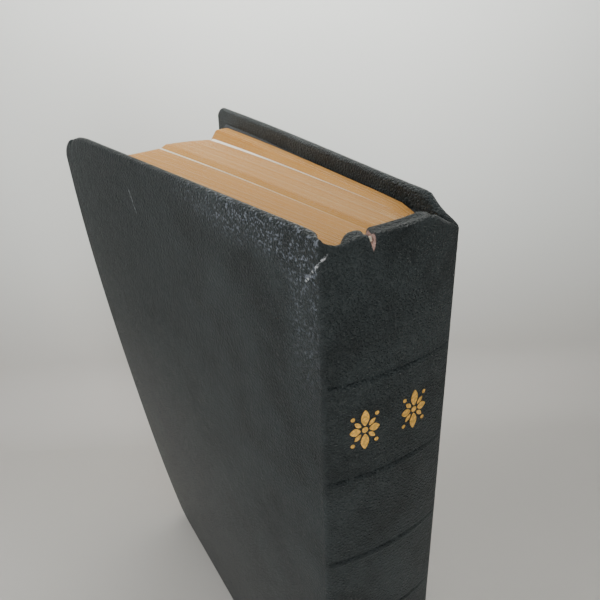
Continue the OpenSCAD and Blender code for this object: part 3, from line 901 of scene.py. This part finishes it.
def leaf_pack_tree():
    """Geometry nodes that lay copies of one leaf side by side between two curved faces."""
    tree = bpy.data.node_groups.new("leaf_pack", "GeometryNodeTree")
    for name, kind in (("Geometry", "Geometry"), ("Leaves", "Int"), ("First sheet", "Float"),
                       ("Fill", "Float"), ("Play", "Float"), ("Seed", "Int"),
                       ("Paper", "Material"), ("Edge", "Material")):
        tree.interface.new_socket(name, in_out="INPUT", socket_type="NodeSocket" + kind)
    tree.interface.new_socket("Geometry", in_out="OUTPUT", socket_type="NodeSocketGeometry")
    pack = Nodes(tree)
    geometry = pack.node("NodeGroupInput", output="Geometry")
    leaves, first, fill, play, seed, paper, edge = map(
        geometry.other, ("Leaves", "First sheet", "Fill", "Play", "Seed", "Paper", "Edge"))

    def named(name, kind="FLOAT"):
        return pack.node("GeometryNodeInputNamedAttribute", {"data_type": kind}, {0: name})

    def store(geometry, name, domain, value):
        return pack.node("GeometryNodeStoreNamedAttribute",
                         {"data_type": "FLOAT", "domain": domain},
                         {"Geometry": geometry, "Name": name, "Value": value})

    one = pack.node("GeometryNodeGeometryToInstance", inputs={0: geometry})
    copies = pack.node("GeometryNodeDuplicateElements", {"domain": "INSTANCE"},
                       {"Geometry": one, "Amount": leaves})
    marked = store(copies, "leaf", "INSTANCE", copies.other(1))
    real = pack.node("GeometryNodeRealizeInstances", inputs={0: marked})
    leaf = named("leaf")
    along = leaf + named("far_side") * fill
    blend = pack.node("ShaderNodeMix", {"data_type": "VECTOR"}, {
        0: along / leaves, 4: named("near", "FLOAT_VECTOR"), 5: named("far", "FLOAT_VECTOR")},
        output=1)
    lift = pack.node("FunctionNodeRandomValue", {"data_type": "FLOAT"},
                     {2: play * -1.0, 3: play, "ID": leaf, "Seed": seed}, output=1)
    raised = pack.node("ShaderNodeCombineXYZ", inputs={2: lift})
    placed = pack.node("GeometryNodeSetPosition",
                       inputs={"Geometry": real, "Position": blend, "Offset": raised})
    counted = store(placed, "sheet", "POINT", along + first)
    whole = pack.node("GeometryNodeRealizeInstances", inputs={0: counted})
    faces = pack.node("GeometryNodeSetMaterial", inputs={"Geometry": whole, "Material": paper})
    edged = pack.node("GeometryNodeSetMaterial", inputs={
        "Geometry": faces, "Selection": named("rim").maths("GREATER_THAN", 0.5), "Material": edge})
    pack.node("NodeGroupOutput", inputs={0: edged})
    return tree


class LeafBlock:
    """Where each leaf lies in the room between the two curved covers."""

    EASE = 0.25 * MM
    FIRST_GAP, SECOND_GAP = 1.3 * MM, 2.4 * MM
    CORNER_R = 6 * MM
    FOLD_STEPS = (0, 0.6 * MM, 1.6 * MM)
    TUCK, TUCK_W = 3.0 * MM, 17 * MM
    FRONT_SHARE = FRONT_SECTIONS / SECTION_COUNT
    BACK_SHARE = 1 - BACK_SECTIONS / SECTION_COUNT

    def __init__(self, binding):
        self.binding = binding
        sizes = binding.sizes
        self.inner_depth = sizes.cover_t + 2 * sizes.endpaper_t + FLYLEAF_CLEAR
        self.sag = sizes.leaf_sag

    def head_drop(self, share, s):
        """How far below its highest the head of a leaf stands, s from the fold."""
        out = np.clip(s / LEAF_W, 0, 1)
        rest = self.sag * (1 - 0.20 * share / self.FRONT_SHARE)
        if share > self.FRONT_SHARE:
            towards = (share - self.FRONT_SHARE) / (self.BACK_SHARE - self.FRONT_SHARE)
            rest = self.sag * (0.72 + 0.12 * towards ** 2)
            rest = rest + 0.6 * MM * towards ** 2 * smooth(out, 0.05, 0.35)
        if share > self.BACK_SHARE:
            rest = self.sag * 0.44
        lift = 0.65 * MM * (share > self.FRONT_SHARE) + 0.25 * MM * (share > self.BACK_SHARE)
        tuck = self.TUCK * smooth(share, 0.72, 1.0) * (1 - smooth(s, 2 * MM, self.TUCK_W))
        return 0.55 * MM - lift + rest * out ** 1.15 + tuck

    def face(self, share, section, s, z_share):
        """Points of one face of a section: s from the fold, z_share from tail to head."""
        fold_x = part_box(f"section_{section:02d}")[1].x
        before = fold_x - HINGE_X
        on = np.maximum(s - before, 0)
        inside = np.maximum(s - (LEAF_W - self.CORNER_R), 0)
        cut = self.CORNER_R - np.sqrt(np.maximum(self.CORNER_R ** 2 - inside ** 2, 0))
        top = LEAF_HEAD - self.head_drop(share, s) - cut
        bottom = np.maximum(LEAF_TAIL - self.head_drop(share, s) * 0.6, 0.4 * MM) + cut
        z = bottom + (top - bottom) * z_share
        depth = np.full_like(z, self.inner_depth)
        front = self.binding.cover(FRONT, on + 1e-6, z, depth)
        back = self.binding.cover(BACK, on + 1e-6, z, depth)
        line = back - front
        room = np.linalg.norm(line, axis=-1, keepdims=True)
        opening = (np.clip(on / LEAF_W, 0, 1) ** 1.5 * np.clip(z / HEAD, 0, 1) ** 2)[..., None]
        first_gap, second_gap = self.FIRST_GAP * opening, self.SECOND_GAP * opening
        usable = room - first_gap - second_gap - 2 * self.EASE
        along = self.EASE + usable * share
        if section > FRONT_SECTIONS:
            along = along + first_gap
        if section > SECTION_COUNT - BACK_SECTIONS:
            along = along + second_gap
        place = front + line / room * along
        place[..., 0] += np.maximum(before - s, 0)
        return place

    def section(self, number):
        """One closed leaf with its two faces kept as attributes, for the leaf pack tree."""
        round_off = self.CORNER_R * np.cos(np.linspace(0.25, math.pi / 2, 6))
        straight = np.linspace(4 * MM, LEAF_W - self.CORNER_R, 12)
        s_values = np.concatenate([self.FOLD_STEPS, straight, LEAF_W - round_off])
        z_shares = np.concatenate([[0], np.linspace(0.02, 0.98, 15), [1]])
        s, z_share = np.meshgrid(np.sort(s_values), z_shares, indexing="ij")
        near = self.face((number - 1) / SECTION_COUNT, number, s, z_share)
        far = self.face(number / SECTION_COUNT, number, s, z_share)
        rows, columns = s.shape
        count = rows * columns
        index = np.arange(count).reshape(rows, columns)
        faces, rim = [], []
        def add(corners, on_rim):
            faces.append([int(c) for c in corners])
            rim.append(on_rim)
        for i in range(rows - 1):
            for k in range(columns - 1):
                a, b, c, d = index[i, k], index[i + 1, k], index[i + 1, k + 1], index[i, k + 1]
                add((d, c, b, a), 0)
                add((a + count, b + count, c + count, d + count), 0)
            for k, turn in ((0, 1), (columns - 1, -1)):
                a, b = index[i, k], index[i + 1, k]
                add((a, b, b + count, a + count)[::turn], 1)
        for k in range(columns - 1):
            for i, turn in ((0, -1), (rows - 1, 1)):
                a, b = index[i, k], index[i, k + 1]
                add((a, b, b + count, a + count)[::turn], 1)
        mesh = bpy.data.meshes.new(f"leaf_{number:02d}")
        both = np.concatenate([near.reshape(-1, 3), far.reshape(-1, 3)])
        mesh.from_pydata(both.tolist(), [], faces)
        for name, values in (("near", near), ("far", far)):
            attribute = mesh.attributes.new(name, "FLOAT_VECTOR", "POINT")
            attribute.data.foreach_set("vector", np.tile(values.reshape(-1, 3), (2, 1)).ravel())
        attribute = mesh.attributes.new("far_side", "FLOAT", "POINT")
        attribute.data.foreach_set("value", np.repeat([0.0, 1.0], count))
        attribute = mesh.attributes.new("rim", "FLOAT", "FACE")
        attribute.data.foreach_set("value", np.array(rim, float))
        return mesh


class BIBLE_OT_leaves(bpy.types.Operator):
    """Fans the sewn sections of leaves between the covers"""
    bl_idname = "bible.leaves"
    bl_label = "Leaves"

    FILL = 0.995
    SHARP_ANGLE = math.radians(40)

    def execute(self, context):
        sizes, colours = context.scene.bible_sizes, context.scene.bible_colours
        block, tree = LeafBlock(binding_of(context)), leaf_pack_tree()
        paper, edge = paper_finish(colours), leaf_edge_finish(colours)
        identifiers = {item.name: item.identifier for item in tree.interface.items_tree
                       if item.in_out == "INPUT"}
        for number in range(1, SECTION_COUNT + 1):
            holder = bpy.data.objects.new("holder", block.section(number))
            context.scene.collection.objects.link(holder)
            pack = holder.modifiers.new("pack", "NODES")
            pack.node_group = tree
            values = {"Leaves": sizes.leaves_per_section, "Fill": self.FILL,
                      "Play": sizes.leaf_play,
                      "First sheet": float((number - 1) * sizes.leaves_per_section),
                      "Seed": sizes.seed + number, "Paper": paper, "Edge": edge}
            for name, value in values.items():
                pack[identifiers[name]] = value
            context.view_layer.update()
            graph = context.evaluated_depsgraph_get()
            data = bpy.data.meshes.new_from_object(holder.evaluated_get(graph))
            bpy.data.objects.remove(holder)
            for name in ("near", "far", "far_side", "leaf", "rim"):
                data.attributes.remove(data.attributes[name])
            data.shade_smooth()
            data.set_sharp_from_angle(angle=self.SHARP_ANGLE)
            name = f"leaves_{number:02d}"
            data.name = name
            piece = bpy.data.objects.new(name, data)
            context.scene.collection.objects.link(piece)
            part = ("front" if number <= FRONT_SECTIONS
                    else "back" if number > SECTION_COUNT - BACK_SECTIONS else "middle")
            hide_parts(f"section_{number:02d}")
            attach(piece, BODY_OF_PART[part])
        return {"FINISHED"}


class BIBLE_OT_gilt(bpy.types.Operator):
    """Stamps two gilt flowers on the spine"""
    bl_idname = "bible.gilt"
    bl_label = "Gilt flowers"

    FOIL_OUT, FOIL_IN = 0.07 * MM, 0.10 * MM
    DIAGONAL = 0.7071

    def plate(self, mesh, binding, centre, outline):
        """A closed plate of foil, bent to the spine. The outline is in shares of the flower."""
        middle = outline.mean(0)
        rings = [middle + (outline - middle) * share for share in (0.5, 1.0)]
        def place(point, lift):
            y = centre.y - MID_Y + point[0]
            return mesh.verts.new((binding.spine_x(y) + lift, MID_Y + y, centre.z + point[1]))
        top = place(middle, self.FOIL_OUT)
        inner = [place(p, self.FOIL_OUT) for p in rings[0]]
        outer = [place(p, self.FOIL_OUT) for p in rings[1]]
        under = [place(p, -self.FOIL_IN) for p in rings[1]]
        bottom = place(middle, -self.FOIL_IN)
        count = len(outline)
        for k in range(count):
            n = (k + 1) % count
            mesh.faces.new((top, inner[k], inner[n]))
            mesh.faces.new((inner[k], outer[k], outer[n], inner[n]))
            mesh.faces.new((outer[k], under[k], under[n], outer[n]))
            mesh.faces.new((under[k], bottom, under[n]))

    def petal(self, length, width, turn, start):
        """A pointed petal that begins at start and points along turn."""
        t = np.linspace(0, 2 * math.pi, 28, endpoint=False)
        along = start + length * (1 - np.cos(t)) / 2
        side = width / 2 * np.sin(t) * (0.55 + 0.45 * np.sin((1 - np.cos(t)) * math.pi / 2))
        c, s = math.cos(turn), math.sin(turn)
        return np.stack([along * c - side * s, along * s + side * c], 1)

    def dot(self, radius, place):
        t = np.linspace(0, 2 * math.pi, 16, endpoint=False)
        return np.stack([place[0] + radius * np.cos(t), place[1] + radius * np.sin(t)], 1)

    def execute(self, context):
        binding = binding_of(context)
        gilt = gilt_finish(context.scene.bible_colours)
        for name, box, body in (("front_gilt_flower", FIRST_ORNAMENT, "front_leaves"),
                                ("middle_gilt_flower", SECOND_ORNAMENT, "middle_leaves")):
            low, high = box
            centre = (low + high) / 2
            half_w, half_h = (high.y - low.y) / 2, (high.z - low.z) / 2
            mesh = bmesh.new()
            plates = [self.dot(0.14 * half_h, (0, 0))]
            for turn, size in ((0, half_w), (math.pi, half_w), (math.pi / 2, half_h),
                               (-math.pi / 2, half_h)):
                start = 0.20 * half_h
                plates.append(self.petal(size - start, 0.56 * half_w, turn, start))
            for turn in (math.pi / 4, 3 * math.pi / 4, -math.pi / 4, -3 * math.pi / 4):
                plates.append(self.petal(0.58 * half_w, 0.30 * half_w, turn, 0.26 * half_h))
                far = (0.80 * half_w * math.cos(turn) / self.DIAGONAL,
                       0.68 * half_h * math.sin(turn) / self.DIAGONAL)
                plates.append(self.dot(0.095 * half_h, far))
            for outline in plates:
                self.plate(mesh, binding, centre, outline)
            piece = finish_mesh(mesh, name)
            give(piece, gilt)
            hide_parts(name.replace("flower", "ornament"))
            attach(piece, body)
        return {"FINISHED"}


class BIBLE_OT_spine_layers(bpy.types.Operator):
    """Gives the layers under the spine's leather their finishes, and fits them to its head"""
    bl_idname = "bible.spine_layers"
    bl_label = "Spine layers"

    EVEN_DROP = 1.2 * MM
    SLOTS = {"spine_lining": "lining_paper", "mull": "mull_cloth", "cap_cords": "cord"}

    def lowered(self, wrap, node, name):
        """A copy of a layer, with its head end lowered to where the leather's head line runs."""
        data = frame["nodes"][node].data.copy()
        for vertex in data.vertices:
            if vertex.co.z > HEAD / 2:
                line = wrap.head(wrap.binding.u_at_spine(vertex.co.y - MID_Y))
                vertex.co.z -= max(HEAD - line - self.EVEN_DROP, 0)
        piece = bpy.data.objects.new(name, data)
        bpy.context.scene.collection.objects.link(piece)
        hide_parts(node)
        return piece

    def execute(self, context):
        finishes = {
            "spine_lining": fibre_finish("kraft_lining", (0.45, 0.35, 0.23), (1, 1, 5), 500.0,
                                         0.0001),
            "mull": weave_finish("open_mull", (0.66, 0.62, 0.52), 0.9 * MM, 0.45),
            "sewing_tapes": weave_finish("sewing_tape", (0.76, 0.73, 0.66), 0.45 * MM, 0.15),
            "kettle_thread": fibre_finish("linen_thread", (0.74, 0.71, 0.62), (1, 3, 9), 900.0,
                                          0.0001),
            "cap_cords": fibre_finish("cap_cord", (0.50, 0.44, 0.34), (4, 1, 4), 900.0, 0.0002)}
        wrap = LeatherWrap(binding_of(context), [])
        for part, body in BODY_OF_PART.items():
            for layer, material in finishes.items():
                node = part + "_" + layer
                if layer not in self.SLOTS:
                    give(frame["nodes"][node], material)
                    continue
                piece = self.lowered(wrap, node, node + "_fitted")
                give(piece, material)
                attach(piece, body)
        return {"FINISHED"}


class BIBLE_OT_stage(bpy.types.Operator):
    """Makes the pale floor, the backdrop, soft lights and the camera"""
    bl_idname = "bible.stage"
    bl_label = "Stage"

    EYE = Vector((0.1513, -0.0678, 0.2296))
    AZIMUTH, PITCH, ROLL = math.radians(60.25), math.radians(28.08), math.radians(2.45)
    LENS = 36.78
    WALL_DISTANCE = 0.300
    WALL_H, WALL_HALF_W, WALL_LIFT = 1.4, 1.6, 0.0002
    SWEEP_R = 0.035
    FLOOR_REACH = 3.0
    BOOK = (0, 0, 0.12)
    # Name, place, target, size, power, colour and spread of each light
    LIGHTS = (
        ("window_light", (-0.50, -0.80, 0.55), BOOK, 0.5, 5.0, (0.98, 0.99, 1.0), 180),
        ("top_light", (0.0, 0.15, 1.0), BOOK, 0.7, 4.6, (1.0, 0.98, 0.95), 180),
        ("fill_light", (0.45, -0.12, 0.14), BOOK, 0.25, 1.3, (1.0, 0.98, 0.95), 180),
        ("low_light", (0.02, -0.26, 0.12), (0.03, 0, 0.03), 0.12, 0.24, (1, 1, 1), 180),
        ("wall_light", (0.25, -0.15, 0.65), (-0.12, 0.09, 0.37), 0.2, 1.5, (1.0, 1.0, 0.99), 50))

    def camera(self, context):
        ahead = Vector((-math.cos(self.PITCH) * math.sin(self.AZIMUTH),
                        math.cos(self.PITCH) * math.cos(self.AZIMUTH), -math.sin(self.PITCH)))
        right = ahead.cross(Vector((0, 0, 1))).normalized()
        down = ahead.cross(right)
        c, s = math.cos(self.ROLL), math.sin(self.ROLL)
        turned_right = c * right + s * down
        turned_down = -s * right + c * down
        data = bpy.data.cameras.new("camera")
        data.lens, data.sensor_width = self.LENS, 36
        camera = bpy.data.objects.new("camera", data)
        axes = Matrix((turned_right, -turned_down, -ahead)).transposed()
        camera.matrix_world = Matrix.Translation(self.EYE) @ axes.to_4x4()
        context.scene.collection.objects.link(camera)
        context.scene.camera = camera

    def flat(self, name, outline, material):
        mesh = bmesh.new()
        mesh.faces.new([mesh.verts.new(p) for p in outline])
        piece = finish_mesh(mesh, name)
        give(piece, material)

    def backdrop(self, material):
        """A wall that curves up from the floor behind the book, clear from behind."""
        ahead = Vector((-math.sin(self.AZIMUTH), math.cos(self.AZIMUTH), 0))
        side = Vector((ahead.y, -ahead.x, 0))
        foot = Vector((self.EYE.x, self.EYE.y, 0)) + ahead * self.WALL_DISTANCE
        profile = [(-self.SWEEP_R + self.SWEEP_R * math.sin(a), self.SWEEP_R * (1 - math.cos(a)))
                   for a in np.linspace(0, math.pi / 2, 14)] + [(0, self.WALL_H)]
        mesh = bmesh.new()
        columns = [[mesh.verts.new(foot + ahead * x + Vector((0, 0, z + self.WALL_LIFT)) + side * w)
                    for x, z in profile] for w in (-self.WALL_HALF_W, self.WALL_HALF_W)]
        for k in range(len(profile) - 1):
            mesh.faces.new((columns[0][k], columns[1][k], columns[1][k + 1], columns[0][k + 1]))
        for face in mesh.faces:
            face.smooth = True
        piece = finish_mesh(mesh, "backdrop")
        give(piece, material)

    def light(self, context, name, place, target, size, power, colour, spread):
        data = bpy.data.lights.new(name, "AREA")
        data.shape, data.size, data.energy, data.color = "SQUARE", size, power, colour
        data.spread = math.radians(spread)
        lamp = bpy.data.objects.new(name, data)
        lamp.location = place
        lamp.rotation_mode = "QUATERNION"
        lamp.rotation_quaternion = (Vector(target) - Vector(place)).to_track_quat("-Z", "Y")
        context.scene.collection.objects.link(lamp)

    def execute(self, context):
        colours = context.scene.bible_colours
        self.camera(context)
        reach_out = self.FLOOR_REACH
        self.flat("floor", [(-reach_out, -reach_out, 0), (reach_out, -reach_out, 0),
                            (reach_out, reach_out, 0), (-reach_out, reach_out, 0)],
                  plain_finish("pale_floor", colours.floor, colours.floor, 6.0))
        self.backdrop(plain_finish("pale_backdrop", colours.floor, colours.backdrop, 4.0, True))
        for light in self.LIGHTS:
            self.light(context, *light)
        world = bpy.data.worlds.new("soft_room")
        world.use_nodes = True
        background = world.node_tree.nodes["Background"]
        background.inputs[0].default_value = (0.86, 0.90, 0.95, 1)
        background.inputs[1].default_value = 0.24
        context.scene.world = world
        return {"FINISHED"}


OPERATORS = (BIBLE_OT_leather, BIBLE_OT_linings, BIBLE_OT_leaves, BIBLE_OT_gilt,
             BIBLE_OT_spine_layers, BIBLE_OT_stage)


class BIBLE_PT_panel(bpy.types.Panel):
    """Lists what can be built"""
    bl_label = "Bible"
    bl_idname = "BIBLE_PT_panel"
    bl_space_type = "VIEW_3D"
    bl_region_type = "UI"
    bl_category = "Bible"

    def draw(self, context):
        for group in (context.scene.bible_sizes, context.scene.bible_colours):
            column = self.layout.column()
            for name in group.__annotations__:
                column.prop(group, name)
        for operator in OPERATORS:
            self.layout.operator(operator.bl_idname)


CLASSES = (BibleSizes, BibleColours, *OPERATORS, BIBLE_PT_panel)


def register():
    for made in CLASSES:
        bpy.utils.register_class(made)
    bpy.types.Scene.bible_sizes = bpy.props.PointerProperty(type=BibleSizes)
    bpy.types.Scene.bible_colours = bpy.props.PointerProperty(type=BibleColours)


def unregister():
    del bpy.types.Scene.bible_sizes
    del bpy.types.Scene.bible_colours
    for made in reversed(CLASSES):
        bpy.utils.unregister_class(made)


def main():
    register()
    for operator in OPERATORS:
        group, name = operator.bl_idname.split(".")
        getattr(getattr(bpy.ops, group), name)()


if __name__ == "__main__":
    main()
